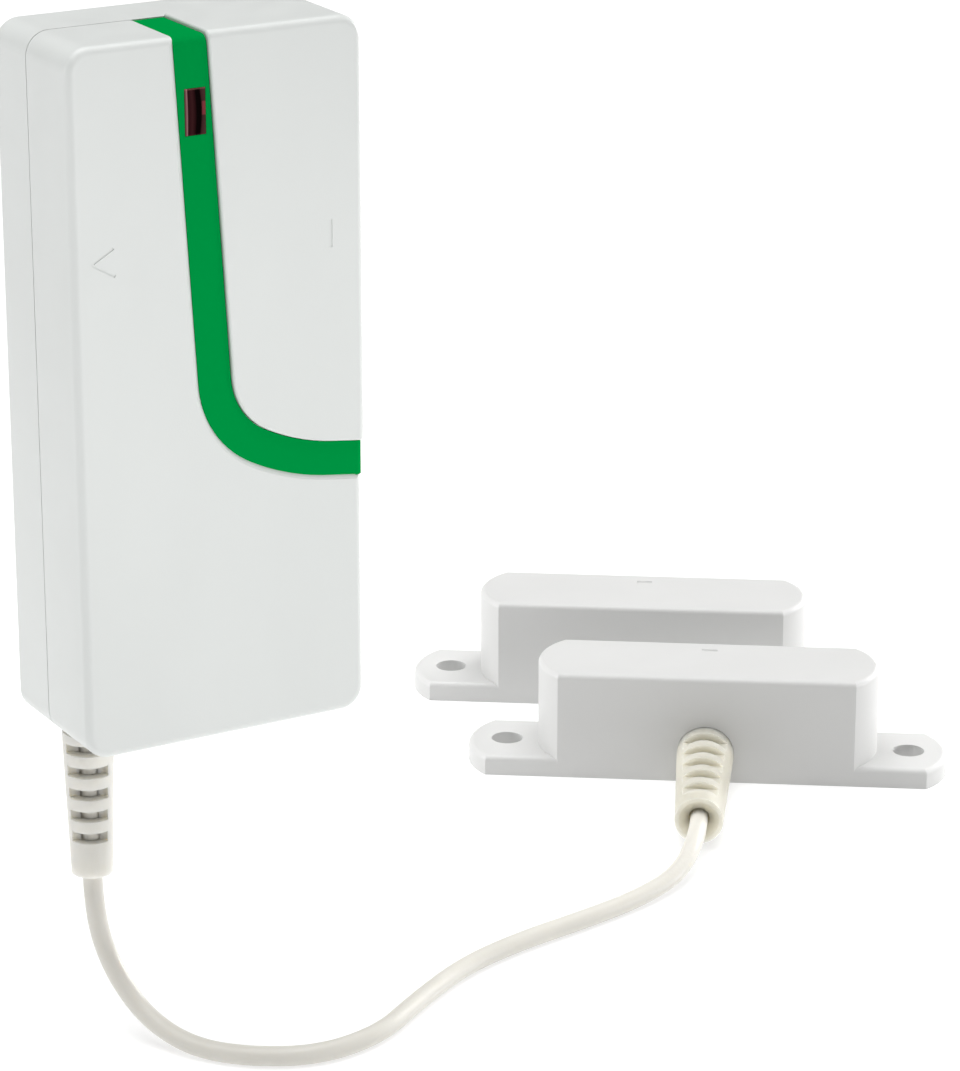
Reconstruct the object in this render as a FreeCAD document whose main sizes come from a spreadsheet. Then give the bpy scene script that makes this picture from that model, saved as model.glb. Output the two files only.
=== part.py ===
import FreeCAD, Part
import math
import os
import re
import Sketcher
from FreeCAD import Placement, Rotation, Vector

# Garage door sensor: a radio transmitter for the wall, a wired reed contact for the frame or floor,
# and the magnet contact that rides on the door. Lengths are in millimetres and angles in degrees.
# The origin is the middle of the transmitter's back face. +X is to the right, +Z is up and the
# front faces -Y. The two contacts and the cord lie on a level surface below the transmitter.

SIZES = {
    # Transmitter case
    "case_width": 38,
    "case_height": 88,
    "case_depth": 20.5,
    "case_corner": 3,
    "case_wall": 2,
    "back_wall": 1.8,
    "front_wall": 1.8,
    "base_depth": 9,
    "seam_gap": 0.15,
    "lip_thickness": 0.8,
    "lip_height": 1.2,
    "lip_clearance": 0.3,
    "front_round": 1,
    "back_round": 0.6,
    "panel_rise": 0.4,
    # Coloured stripe, set into the front, the top and the right side
    "stripe_width": 4.4,
    "stripe_bend": 10.7,
    "stripe_centre_x": 9.9,
    "stripe_centre_z": 2.1,
    "stripe_sweep": 28,
    "stripe_turn": 28.5,
    "stripe_lean": 3.2,
    "stripe_fall": 7.5,
    "groove_depth": 0.8,
    "stripe_sink": 0.1,
    "stripe_gap": 0.12,
    "bevel_depth": 0.3,
    "bevel_angle": 63,
    "panel_round": 0.35,
    # Status window in the stripe
    "window_drop": 9.1,
    "window_width": 2.8,
    "window_height": 5.7,
    "window_clearance": 0.05,
    "window_flange": 0.8,
    "window_flange_depth": 0.7,
    # Engraved pointer and bar on the front
    "mark_width": 0.35,
    "mark_depth": 0.1,
    "mark_z": 18,
    "pointer_inset": 2.4,
    "pointer_arm": 3.4,
    "pointer_angle": 30,
    "bar_inset": 4.3,
    "bar_length": 3.5,
    # Wall screw holes in the base
    "wall_hole_diameter": 4.2,
    "wall_hole_inset": 6.5,
    "wall_hole_spacing": 68,
    # Circuit board and its posts
    "board_thickness": 1.2,
    "board_wall_gap": 1,
    "board_hole_gap": 1.8,
    "board_tray_gap": 2.3,
    "board_back": 6,
    "post_diameter": 4,
    "post_inset": 2.6,
    "screw_diameter": 1.6,
    "screw_clearance": 0.05,
    "screw_head_diameter": 3.2,
    "screw_head_height": 1.2,
    "screw_length": 4,
    # Battery, its tray and its contacts
    "battery_length": 27,
    "battery_front_gap": 0.3,
    "battery_rim": 0.8,
    "battery_tip_diameter": 6,
    "battery_tip": 0.7,
    "battery_clearance": 0.2,
    "tray_floor": 0.8,
    "tray_side": 0.9,
    "tray_depth": 7.4,
    "tray_end": 1.2,
    "tray_wall_gap": 0.8,
    "tray_hole_gap": 0.7,
    "spring_gap": 1.4,
    "spring_plate": 0.4,
    "spring_width": 7.8,
    # Tamper switch
    "tamper_inset": 4.6,
    "tamper_z": 8,
    "tamper_side": 6,
    "tamper_height": 4.4,
    "collar_wall": 0.9,
    "collar_height": 1,
    "plunger_diameter": 3,
    "plunger_clearance": 0.06,
    "plunger_seat": 1.2,
    "plunger_play": 0.4,
    "plunger_gap": 0.3,
    "plunger_post_diameter": 4,
    "plunger_post_length": 2.4,
    # Parts on the board
    "led_diameter": 3,
    "led_rim": 0.4,
    "led_rim_height": 1,
    "led_gap": 1.2,
    "terminal_width": 8,
    "terminal_height": 8,
    "terminal_depth": 7,
    "terminal_screw_diameter": 2.4,
    "terminal_screw_depth": 1.2,
    "terminal_entry": 1.6,
    "clamp_slot": 0.5,
    "radio_width": 13,
    "radio_height": 15,
    "radio_thickness": 0.8,
    "radio_inset": 1,
    "radio_drop": 10,
    "shield_height": 2.4,
    "shield_inset": 1,
    "chip_side": 7,
    "chip_height": 1.1,
    "chip_inset": 9.5,
    "chip_rise": 4,
    "capacitor_diameter": 5,
    "capacitor_height": 7,
    "capacitor_inset": 4.3,
    "capacitor_drop": 12,
    "crystal_width": 4.2,
    "crystal_length": 8.4,
    "crystal_height": 1.6,
    "crystal_gap": 1,
    "aerial_diameter": 0.8,
    "aerial_inset": 0.8,
    "aerial_drop": 26,
    "aerial_stand_off": 4,
    "aerial_rise": 13,
    # Cord and its two strain reliefs
    "cord_diameter": 2.5,
    "case_cord_lead": 6,
    "reed_cord_lead": 5.5,
    "case_jacket_end": 8,
    "reed_jacket_end": 1.6,
    "wire_diameter": 0.9,
    "wire_gap": 0.18,
    "wire_rise": 9,
    "wire_run_in": 8,
    "solder_inset": 2,
    "relief_wall_gap": 0.05,
    "relief_bore_gap": 0.22,
    "relief_flange": 1.2,
    "relief_flange_radius": 2.5,
    "relief_neck": 2,
    "relief_cup_depth": 1,
    "relief_cup_rim": 0.6,
    "case_relief_inset": 4.6,
    "case_relief_length": 19,
    "case_relief_root": 3.25,
    "case_relief_tip": 2.6,
    "case_relief_first": 1.1,
    "case_relief_pitch": 2.95,
    "case_relief_slot": 1.45,
    "case_relief_slots": 5,
    "case_relief_rail": 0.6,
    "case_relief_web": 1.9,
    "case_relief_turn": -30,
    "reed_relief_length": 25,
    "reed_relief_root": 4.15,
    "reed_relief_tip": 3.4,
    "reed_relief_first": 2.2,
    "reed_relief_pitch": 4.3,
    "reed_relief_slot": 2.6,
    "reed_relief_slots": 5,
    "reed_relief_rail": 0.5,
    "reed_relief_web": 5,
    "reed_relief_height": 4.4,
    # Contact housings, alike for the reed and the magnet
    "floor_drop": 84,
    "reed_x": 96,
    "reed_y": 18.5,
    "contact_turn": -35,
    "magnet_shift": -11,
    "magnet_back": 29,
    "ear_length": 64,
    "ear_bulge": 3,
    "ear_thickness": 2.9,
    "block_length": 43,
    "block_bulge": 3.3,
    "contact_depth": 15,
    "contact_height": 16,
    "contact_wall": 1.8,
    "contact_round": 0.8,
    "ear_hole_diameter": 4.6,
    "ear_hole_spacing": 58.8,
    "lid_thickness": 1.4,
    "lid_seat": 0.8,
    "lid_clearance": 0.1,
    "tick_length": 2.3,
    "tick_width": 0.9,
    "tick_depth": 0.3,
    "tick_back": 3.4,
    # Reed switch and its cradle
    "glass_diameter": 2.6,
    "glass_length": 16,
    "glass_wall": 0.4,
    "glass_plug": 2,
    "blade_width": 1.2,
    "blade_thickness": 0.3,
    "blade_overlap": 1.2,
    "blade_gap": 0.15,
    "blade_lead": 6,
    "switch_height": 8,
    "switch_back": 9.5,
    "cradle_thickness": 1.4,
    "cradle_spacing": 11,
    "cradle_width": 4.4,
    "cradle_clearance": 0.05,
    # Bar magnet and its cradle
    "magnet_length": 30,
    "magnet_width": 6,
    "magnet_thickness": 5,
    "magnet_bevel": 0.4,
    "magnet_seat": 3.6,
    "magnet_clearance": 0.1,
    "magnet_rail": 1.2,
}

# Lengths that no face of the finished object shows
ALLOWANCES = {
    # How far a cut runs past the face that it opens
    "past": "1",
    # How far the stripe's cutting band runs on beyond the case
    "beyond": "5",
    # How far a boss starts inside the wall that it grows from
    "sunk": "0.2",
}

doc = FreeCAD.newDocument("garage_door_sensor")
sheet = doc.addObject("Spreadsheet::Sheet", "dims")
for row, (name, value) in enumerate(SIZES.items(), start=1):
    sheet.set("A%d" % row, name)
    sheet.set("B%d" % row, str(value))
    sheet.setAlias("B%d" % row, name)
doc.recompute()
parts = []


def formula(text):
    """Point every name in an expression at its cell in the sheet, or at its allowance."""
    def reference(found):
        name = found.group()
        return "dims." + name if name in SIZES else ALLOWANCES.get(name, name)
    return re.sub(r"[a-z_]+", reference, text)


def size(text):
    """Work out a size, or an expression in sizes."""
    return float(sheet.evalExpression(formula(text)))


def bind(feature, **expressions):
    for name, text in expressions.items():
        feature.setExpression(name, formula(text))


def bind_place(feature, corner):
    for letter, text in zip("xyz", corner):
        feature.setExpression("Placement.Base." + letter, formula(text))


def new_part(label):
    body = doc.addObject("PartDesign::Body", label)
    body.Label = label
    parts.append(body)
    return body


DIRECTIONS = {
    "up": Rotation(),
    "down": Rotation(Vector(1, 0, 0), 180),
    "front": Rotation(Vector(1, 0, 0), 90),
    "back": Rotation(Vector(1, 0, 0), -90),
    "right": Rotation(Vector(0, 1, 0), 90),
}


def block(body, label, corner, extent, cut=False, turn=Rotation()):
    """Add or cut a box, given its lowest corner, its extent along x, y and z and any turn."""
    kind = "PartDesign::SubtractiveBox" if cut else "PartDesign::AdditiveBox"
    feature = body.newObject(kind, label)
    feature.Placement = Placement(Vector(), turn)
    bind(feature, Length=extent[0], Width=extent[1], Height=extent[2])
    bind_place(feature, corner)
    return feature


def rod(body, label, start, radius, length, direction="up", cut=False):
    """Add or cut a round rod that begins at start and runs in a named direction."""
    kind = "PartDesign::SubtractiveCylinder" if cut else "PartDesign::AdditiveCylinder"
    feature = body.newObject(kind, label)
    feature.Placement = Placement(Vector(), DIRECTIONS[direction])
    bind(feature, Radius=radius, Height=length)
    bind_place(feature, start)
    return feature


def cone(body, label, start, first_radius, last_radius, length, cut=False):
    kind = "PartDesign::SubtractiveCone" if cut else "PartDesign::AdditiveCone"
    feature = body.newObject(kind, label)
    bind(feature, Radius1=first_radius, Radius2=last_radius, Height=length)
    bind_place(feature, start)
    return feature


def new_sketch(body, label, plane, offset="0"):
    sketch = body.newObject("Sketcher::SketchObject", label)
    origin_plane = [item for item in body.Origin.OriginFeatures if item.Role == plane][0]
    sketch.AttachmentSupport = [(origin_plane, "")]
    sketch.MapMode = "FlatFace"
    sketch.setExpression("AttachmentOffset.Base.z", formula(offset))
    return sketch


def constrain(sketch, kind, where, text):
    """Add a sized constraint that follows an expression."""
    index = sketch.addConstraint(Sketcher.Constraint(kind, *where, size(text)))
    sketch.setExpression("Constraints[%d]" % index, formula(text))


def incline(sketch, line, text):
    """Hold a line of a sketch at an angle, in degrees, that follows an expression."""
    index = sketch.addConstraint(Sketcher.Constraint("Angle", line, math.radians(size(text))))
    sketch.setExpression("Constraints[%d]" % index, formula("(%s) * 1 deg" % text))


def rounded_rectangle(sketch, width, height, corner):
    """Draw a rounded rectangle about the origin, of a given width, height and corner radius."""
    half_width = size(width) / 2
    half_height = size(height) / 2
    radius = size(corner)
    inner_x = half_width - radius
    inner_y = half_height - radius
    first = sketch.GeometryCount
    corners = [
        (inner_x, -inner_y, -90),
        (inner_x, inner_y, 0),
        (-inner_x, inner_y, 90),
        (-inner_x, -inner_y, 180),
    ]
    lines = [
        ((-inner_x, -half_height), (inner_x, -half_height)),
        ((half_width, -inner_y), (half_width, inner_y)),
        ((inner_x, half_height), (-inner_x, half_height)),
        ((-half_width, inner_y), (-half_width, -inner_y)),
    ]
    for (begin, end), (x, y, angle) in zip(lines, corners):
        sketch.addGeometry(Part.LineSegment(Vector(*begin, 0), Vector(*end, 0)), False)
        circle = Part.Circle(Vector(x, y, 0), Vector(0, 0, 1), radius)
        sketch.addGeometry(Part.ArcOfCircle(circle, math.radians(angle), math.radians(angle + 90)), False)
    for step in range(8):
        following = first + (step + 1) % 8
        sketch.addConstraint(Sketcher.Constraint("Tangent", first + step, 2, following, 1))
    for step, kind in ((0, "Horizontal"), (2, "Vertical"), (4, "Horizontal"), (6, "Vertical")):
        sketch.addConstraint(Sketcher.Constraint(kind, first + step))
    for step in (3, 5, 7):
        sketch.addConstraint(Sketcher.Constraint("Equal", first + 1, first + step))
    sketch.addConstraint(Sketcher.Constraint("Symmetric", first + 7, 3, first + 3, 3, -1, 1))
    constrain(sketch, "Radius", (first + 1,), corner)
    constrain(sketch, "DistanceX", (first + 7, 3, first + 1, 3), "%s - 2 * (%s)" % (width, corner))
    constrain(sketch, "DistanceY", (first + 1, 3, first + 3, 3), "%s - 2 * (%s)" % (height, corner))


def pad(body, label, sketch, length, cut=False, along=True):
    """Raise or cut a sketch, along the way it faces or against it."""
    feature = body.newObject("PartDesign::Pocket" if cut else "PartDesign::Pad", label)
    feature.Profile = sketch
    bind(feature, Length=length)
    feature.Reversed = along if cut else not along
    sketch.Visibility = False
    return feature


def dress(body, label, kind, text, chosen):
    """Round or bevel the edges of the latest feature that the function picks."""
    doc.recompute()
    tip = body.Tip
    names = ["Edge%d" % number for number, edge in enumerate(tip.Shape.Edges, start=1) if chosen(edge)]
    feature = body.newObject("PartDesign::" + kind, label)
    feature.Base = (tip, names)
    bind(feature, **{"Radius" if kind == "Fillet" else "Size": text})
    doc.recompute()
    return feature


def near(value, target):
    return abs(value - target) < 0.01


def middle_of(edge):
    return edge.valueAt((edge.FirstParameter + edge.LastParameter) / 2)


def lies_at(edge, axis, target):
    """Tell whether a whole edge lies in the plane where one coordinate has a given value."""
    box = edge.BoundBox
    low, high = {"x": (box.XMin, box.XMax), "y": (box.YMin, box.YMax), "z": (box.ZMin, box.ZMax)}[axis]
    return near(low, target) and near(high, target)


# Transmitter base: the wall half of the case

def case_outline(body, label, offset, inset="0"):
    """Sketch the case's outline, drawn in by an inset."""
    sketch = new_sketch(body, label, "XZ_Plane", offset)
    rounded_rectangle(sketch, "case_width - 2 * (%s)" % inset, "case_height - 2 * (%s)" % inset,
                      "case_corner - (%s)" % inset)
    return sketch


AXIS_DEPTH = "(case_depth / 2)"
INNER_FRONT = "(case_depth - front_wall)"
COVER_BACK = "(base_depth + seam_gap)"
LIP_INSET = "case_wall - lip_thickness"
REBATE_INSET = "case_wall - lip_thickness - lip_clearance"
RELIEF_X = "(-case_width / 2 + case_relief_inset)"
WALL_HOLE_X = "(case_width / 2 - wall_hole_inset)"

# The battery fills the depth that the walls and its tray leave; the tray stands beside the lower wall
# screw hole, and the board fills the height above the tray
BATTERY = "(case_depth - back_wall - tray_floor - battery_clearance - battery_front_gap - front_wall)"
BATTERY_DEPTH = "(back_wall + tray_floor + %s / 2 + battery_clearance)" % BATTERY
TRAY_WIDTH = "(%s + 2 * battery_clearance + 2 * tray_side)" % BATTERY
TRAY_LEFT = "(%s - wall_hole_diameter / 2 - tray_hole_gap - %s)" % (WALL_HOLE_X, TRAY_WIDTH)
TRAY_LENGTH = "(battery_length + battery_tip + 2 * spring_gap + 2 * tray_end)"
TRAY_BOTTOM = "(-case_height / 2 + case_wall + tray_wall_gap)"
BATTERY_X = "(%s + %s / 2)" % (TRAY_LEFT, TRAY_WIDTH)
BATTERY_BOTTOM = "(%s + tray_end + spring_gap)" % TRAY_BOTTOM
BOARD_FRONT = "(board_back + board_thickness)"
BOARD_LEFT = "(-case_width / 2 + case_wall + board_wall_gap)"
BOARD_RIGHT = "(%s - wall_hole_diameter / 2 - board_hole_gap)" % WALL_HOLE_X
BOARD_TOP = "(case_height / 2 - case_wall - board_wall_gap)"
BOARD_BOTTOM = "(%s + %s + board_tray_gap)" % (TRAY_BOTTOM, TRAY_LENGTH)

# The plunger of the tamper switch ends just short of a post on the cover
TAMPER_X = "(%s - tamper_inset)" % BOARD_RIGHT
PLUNGER_REACH = "(%s - plunger_post_length - plunger_gap)" % INNER_FRONT


def relief_passages():
    """The strain relief's way through the bottom wall: its neck's passage, then its flange's seat."""
    inside = "-case_height / 2 + case_wall"
    return [
        ("neck", "relief_neck + relief_wall_gap", "-case_height / 2 - past", "case_wall + 2 * past"),
        ("flange", "relief_flange_radius + relief_wall_gap", inside, "2 * relief_flange"),
    ]


def relief_notch(body):
    """Cut the round passages of the strain relief's neck and flange."""
    for name, radius, low, height in relief_passages():
        rod(body, name + "_passage", (RELIEF_X, "-" + AXIS_DEPTH, low), radius, height, cut=True)


def make_case_base():
    body = new_part("case_base")
    pad(body, "base_block", case_outline(body, "base_outline", "0"), "base_depth")
    dress(body, "base_back_edge", "Fillet", "back_round", lambda edge: lies_at(edge, "y", 0))
    pad(body, "base_lip", case_outline(body, "lip_outline", "base_depth", LIP_INSET), "lip_height")
    hollow = case_outline(body, "hollow_outline", "back_wall", "case_wall")
    pad(body, "base_hollow", hollow, "base_depth + lip_height", cut=True)
    for name, side in (("lower", "-1"), ("upper", "1")):
        start = (WALL_HOLE_X, "past", "%s * wall_hole_spacing / 2" % side)
        rod(body, name + "_wall_hole", start, "wall_hole_diameter / 2", "back_wall + 2 * past", "front",
            cut=True)
    for name, x, z in board_corners():
        rod(body, name + "_post", (x, "-back_wall + sunk", z), "post_diameter / 2",
            "board_back - back_wall + sunk", "front")
        rod(body, name + "_pilot", (x, "-back_wall", z), "screw_diameter / 2 + screw_clearance",
            "board_back", "front", cut=True)
    relief_notch(body)
    return body


def board_corners():
    """Name and place the board's four fixing points."""
    left = BOARD_LEFT + " + post_inset"
    right = BOARD_RIGHT + " - post_inset"
    top = BOARD_TOP + " - post_inset"
    bottom = BOARD_BOTTOM + " + post_inset"
    return [
        ("low_left", left, bottom),
        ("low_right", right, bottom),
        ("top_left", left, top),
        ("top_right", right, top),
    ]


# Transmitter front: cover, stripe and status window

STRIPE_FACE = "(case_depth - stripe_sink)"
WINDOW_Z = "(case_height / 2 - window_drop)"
# The window is centred on the upright stretch of the stripe
WINDOW_X = ("(stripe_centre_x - stripe_bend / cos(stripe_lean * 1 deg)"
            " - (%s - stripe_centre_z) * tan(stripe_lean * 1 deg))" % WINDOW_Z)
LED_REACH = "(%s - window_flange_depth - led_gap)" % INNER_FRONT
OUTER_EDGE = " + stripe_width / 2"
INNER_EDGE = " - stripe_width / 2"
# The stripe lies against the outer wall of its groove and keeps a fine gap to the inner one
STRIPE_INNER_EDGE = INNER_EDGE + " + stripe_gap"
# The bend passes into a wider sweep, whose centre is on the line through the bend's centre
SWEEP_X = "(stripe_centre_x + (stripe_sweep - stripe_bend) * sin(stripe_turn * 1 deg))"
SWEEP_Z = "(stripe_centre_z + (stripe_sweep - stripe_bend) * cos(stripe_turn * 1 deg))"
PANEL_TOP = "case_height / 2 + panel_rise"
PANEL_RIGHT = "case_width / 2 + panel_rise"


def stripe_centres():
    """The centres of the stripe's bend and of its sweep."""
    bend = Vector(size("stripe_centre_x"), size("stripe_centre_z"), 0)
    return bend, Vector(size(SWEEP_X), size(SWEEP_Z), 0)


def stripe_directions():
    """The ways from the centres that are square to the upright and to the level stretch."""
    lean = math.radians(size("stripe_lean"))
    fall = math.radians(size("stripe_fall"))
    return Vector(-math.cos(lean), -math.sin(lean), 0), Vector(-math.sin(fall), -math.cos(fall), 0)


def stripe_edge(sketch, side, top_text, right_text):
    """Draw and hold one edge of the stripe: down from the top, round the bend and sweep, to the right."""
    bend, sweep = stripe_centres()
    toward_left, toward_floor = stripe_directions()
    bend_radius = size("stripe_bend" + side)
    sweep_radius = size("stripe_sweep" + side)
    lean = math.radians(size("stripe_lean"))
    fall = math.radians(size("stripe_fall"))
    meeting = 1.5 * math.pi - math.radians(size("stripe_turn"))
    first = sketch.GeometryCount
    bend_start = bend + toward_left * bend_radius
    sweep_end = sweep + toward_floor * sweep_radius
    rise = size(top_text) - bend_start.y
    reach = size(right_text) - sweep_end.x
    begin = bend_start + Vector(-rise * math.tan(lean), rise, 0)
    finish = sweep_end + Vector(reach, -reach * math.tan(fall), 0)
    sketch.addGeometry(Part.LineSegment(begin, bend_start), False)
    circle = Part.Circle(bend, Vector(0, 0, 1), bend_radius)
    sketch.addGeometry(Part.ArcOfCircle(circle, math.pi + lean, meeting), False)
    circle = Part.Circle(sweep, Vector(0, 0, 1), sweep_radius)
    sketch.addGeometry(Part.ArcOfCircle(circle, meeting, 1.5 * math.pi - fall), False)
    sketch.addGeometry(Part.LineSegment(sweep_end, finish), False)
    for piece in range(first, first + 3):
        sketch.addConstraint(Sketcher.Constraint("Tangent", piece, 2, piece + 1, 1))
    constrain(sketch, "DistanceX", (-1, 1, first + 1, 3), "stripe_centre_x")
    constrain(sketch, "DistanceY", (-1, 1, first + 1, 3), "stripe_centre_z")
    constrain(sketch, "DistanceX", (-1, 1, first + 2, 3), SWEEP_X)
    constrain(sketch, "DistanceY", (-1, 1, first + 2, 3), SWEEP_Z)
    constrain(sketch, "Radius", (first + 1,), "stripe_bend" + side)
    incline(sketch, first, "stripe_lean - 90")
    incline(sketch, first + 3, "-stripe_fall")
    return begin, finish


def beside_stripe(edge):
    """Tell whether an edge follows the stripe's inner edge."""
    middle = Vector(middle_of(edge).x, middle_of(edge).z, 0)
    radii = (size("stripe_bend" + INNER_EDGE), size("stripe_sweep" + INNER_EDGE))
    for centre, direction, radius in zip(stripe_centres(), stripe_directions(), radii):
        offset = middle - centre
        if near(offset.dot(direction), radius) or near(offset.Length, radius):
            return True
    return False


def band_outline(body, label, offset, top, right, inner_edge=INNER_EDGE):
    """Sketch the stripe as a band between its outer and inner edges, up to a top and out to a right."""
    sketch = new_sketch(body, label, "XZ_Plane", offset)
    outer_start, outer_end = stripe_edge(sketch, OUTER_EDGE, top, right)
    inner_start, inner_end = stripe_edge(sketch, inner_edge, top, right)
    sketch.addGeometry(Part.LineSegment(outer_end, inner_end), False)
    sketch.addGeometry(Part.LineSegment(inner_start, outer_start), False)
    for one, other in (((3, 2), (8, 1)), ((7, 2), (8, 2)), ((4, 1), (9, 1)), ((0, 1), (9, 2))):
        sketch.addConstraint(Sketcher.Constraint("Coincident", *one, *other))
    sketch.addConstraint(Sketcher.Constraint("Vertical", 8))
    sketch.addConstraint(Sketcher.Constraint("Horizontal", 9))
    constrain(sketch, "DistanceX", (-1, 1, 3, 2), right)
    constrain(sketch, "DistanceY", (-1, 1, 0, 1), top)
    return sketch


def panel_outline(body, label, offset):
    """Sketch the raised upper panel, from the stripe's inner edge out to the top and the right side."""
    sketch = new_sketch(body, label, "XZ_Plane", offset)
    begin, finish = stripe_edge(sketch, INNER_EDGE, PANEL_TOP, PANEL_RIGHT)
    corner = Vector(size(PANEL_RIGHT), size(PANEL_TOP), 0)
    sketch.addGeometry(Part.LineSegment(finish, corner), False)
    sketch.addGeometry(Part.LineSegment(corner, begin), False)
    for one, other in (((3, 2), (4, 1)), ((4, 2), (5, 1)), ((5, 2), (0, 1))):
        sketch.addConstraint(Sketcher.Constraint("Coincident", *one, *other))
    sketch.addConstraint(Sketcher.Constraint("Vertical", 4))
    sketch.addConstraint(Sketcher.Constraint("Horizontal", 5))
    constrain(sketch, "DistanceX", (-1, 1, 4, 2), PANEL_RIGHT)
    constrain(sketch, "DistanceY", (-1, 1, 4, 2), PANEL_TOP)
    return sketch


GROOVE_FLOOR = "case_depth - groove_depth"
# The stripe's edges where it crosses the top edge of the front
TOP_LEFT = ("stripe_centre_x - (stripe_bend + stripe_width / 2) / cos(stripe_lean * 1 deg)"
            " - (case_height / 2 - stripe_centre_z) * tan(stripe_lean * 1 deg)")
TOP_WIDTH = "stripe_width / cos(stripe_lean * 1 deg)"
# The stripe's lower edge where it crosses the right edge of the front
RIGHT_LOW = (SWEEP_Z + " - (stripe_sweep + stripe_width / 2) / cos(stripe_fall * 1 deg)"
             " - (case_width / 2 - %s) * tan(stripe_fall * 1 deg)" % SWEEP_X)
RIGHT_HEIGHT = "stripe_width / cos(stripe_fall * 1 deg)"


def make_cover():
    body = new_part("front_cover")
    outline = case_outline(body, "cover_outline", COVER_BACK)
    pad(body, "cover_block", outline, "case_depth - (%s)" % COVER_BACK)
    front = -size("case_depth")
    dress(body, "cover_front_edge", "Fillet", "front_round", lambda edge: lies_at(edge, "y", front))
    far_top = "case_height / 2 + beyond"
    far_right = "case_width / 2 + beyond"
    bevel = band_outline(body, "bevel_outline", "case_depth - bevel_depth", far_top, far_right)
    sloped = pad(body, "stripe_bevel", bevel, "bevel_depth + past", cut=True)
    bind(sloped, TaperAngle="bevel_angle")
    raised = panel_outline(body, "panel_outline", COVER_BACK)
    pad(body, "cover_panel", raised, "case_depth + panel_rise - (%s)" % COVER_BACK)
    top = size(PANEL_TOP)
    right = size(PANEL_RIGHT)
    dress(body, "panel_corner", "Fillet", "case_corner",
          lambda edge: lies_at(edge, "x", right) and lies_at(edge, "z", top))
    panel_front = front - size("panel_rise")

    def outer_panel_edge(edge):
        middle = middle_of(edge)
        outside = middle.x > right - size("case_corner") / 2 or middle.z > top - size("case_corner") / 2
        return lies_at(edge, "y", panel_front) and outside

    dress(body, "panel_front_edge", "Fillet", "front_round", outer_panel_edge)
    dress(body, "panel_inner_edge", "Fillet", "panel_round",
          lambda edge: lies_at(edge, "y", panel_front) and beside_stripe(edge))
    hollow = case_outline(body, "cover_hollow_outline", INNER_FRONT, "case_wall")
    pad(body, "cover_hollow", hollow, "case_depth", cut=True, along=False)
    rebate = case_outline(body, "rebate_outline", "base_depth + lip_height + lip_clearance", REBATE_INSET)
    pad(body, "cover_rebate", rebate, "case_depth", cut=True, along=False)
    band = band_outline(body, "groove_outline", GROOVE_FLOOR, far_top, far_right)
    clear_height = "groove_depth + panel_rise + past"
    clear_depth = "case_depth - (%s) + 2 * past" % COVER_BACK
    pad(body, "stripe_groove", band, clear_height, cut=True)
    block(body, "top_groove", (TOP_LEFT, "-case_depth - past", "case_height / 2 - groove_depth"),
          (TOP_WIDTH, clear_depth, clear_height), cut=True)
    block(body, "side_groove", ("case_width / 2 - groove_depth", "-case_depth - past", RIGHT_LOW),
          (clear_height, clear_depth, RIGHT_HEIGHT), cut=True)
    window_opening(body)
    engrave_marks(body)
    foot = (TAMPER_X, "-(%s) - sunk" % INNER_FRONT, "tamper_z")
    rod(body, "plunger_post", foot, "plunger_post_diameter / 2", "plunger_post_length + sunk", "back")
    relief_notch(body)
    for name, radius, low, height in relief_passages():
        block(body, name + "_way_out", ("%s - (%s)" % (RELIEF_X, radius), "-" + AXIS_DEPTH, low),
              ("2 * (%s)" % radius, "case_depth", height), cut=True)
    return body


def window_opening(body):
    """Cut the status window's opening through the front wall or the stripe."""
    corner = (WINDOW_X + " - window_width / 2", "-case_depth - past", WINDOW_Z + " - window_height / 2")
    extent = ("window_width", "front_wall + 2 * past", "window_height")
    block(body, "window_opening", corner, extent, cut=True)


def engrave_marks(body):
    """Cut the pointer at the left edge and the bar at the right edge."""
    depth = "mark_depth + past"
    apex = ("-case_width / 2 + pointer_inset", "-case_depth - past", "mark_z")
    for name, sign in (("upper", -1), ("lower", 1)):
        arm = block(body, name + "_pointer_arm", apex, ("pointer_arm", depth, "mark_width"), cut=True,
                    turn=Rotation(Vector(0, 1, 0), 1))
        arm.setExpression("Placement.Rotation.Angle", formula("%d * pointer_angle * 1 deg" % sign))
    corner = ("case_width / 2 - bar_inset", "-case_depth - panel_rise - past", "mark_z - bar_length / 2")
    block(body, "front_bar", corner, ("mark_width", depth, "bar_length"), cut=True)


def make_stripe():
    body = new_part("front_stripe")
    top = "case_height / 2 - stripe_sink"
    right = "case_width / 2 + panel_rise - stripe_sink"
    thickness = "groove_depth - stripe_sink"
    depth = "%s - (%s)" % (STRIPE_FACE, COVER_BACK)
    outline = band_outline(body, "band_outline", GROOVE_FLOOR, top, right, STRIPE_INNER_EDGE)
    pad(body, "front_band", outline, thickness)
    block(body, "top_band", (TOP_LEFT, "-" + STRIPE_FACE, "case_height / 2 - groove_depth"),
          (TOP_WIDTH + " - stripe_gap / cos(stripe_lean * 1 deg)", depth, thickness))
    block(body, "side_band", ("case_width / 2 - groove_depth", "-" + STRIPE_FACE, RIGHT_LOW),
          ("panel_rise + " + thickness, depth, RIGHT_HEIGHT + " - stripe_gap / cos(stripe_fall * 1 deg)"))
    window_opening(body)

    def wraps_over(edge):
        at_rim = lies_at(edge, "z", size(top)) or lies_at(edge, "x", size(right))
        return at_rim and lies_at(edge, "y", -size(STRIPE_FACE))

    dress(body, "band_corner", "Fillet", "front_round", wraps_over)
    return body


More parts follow.
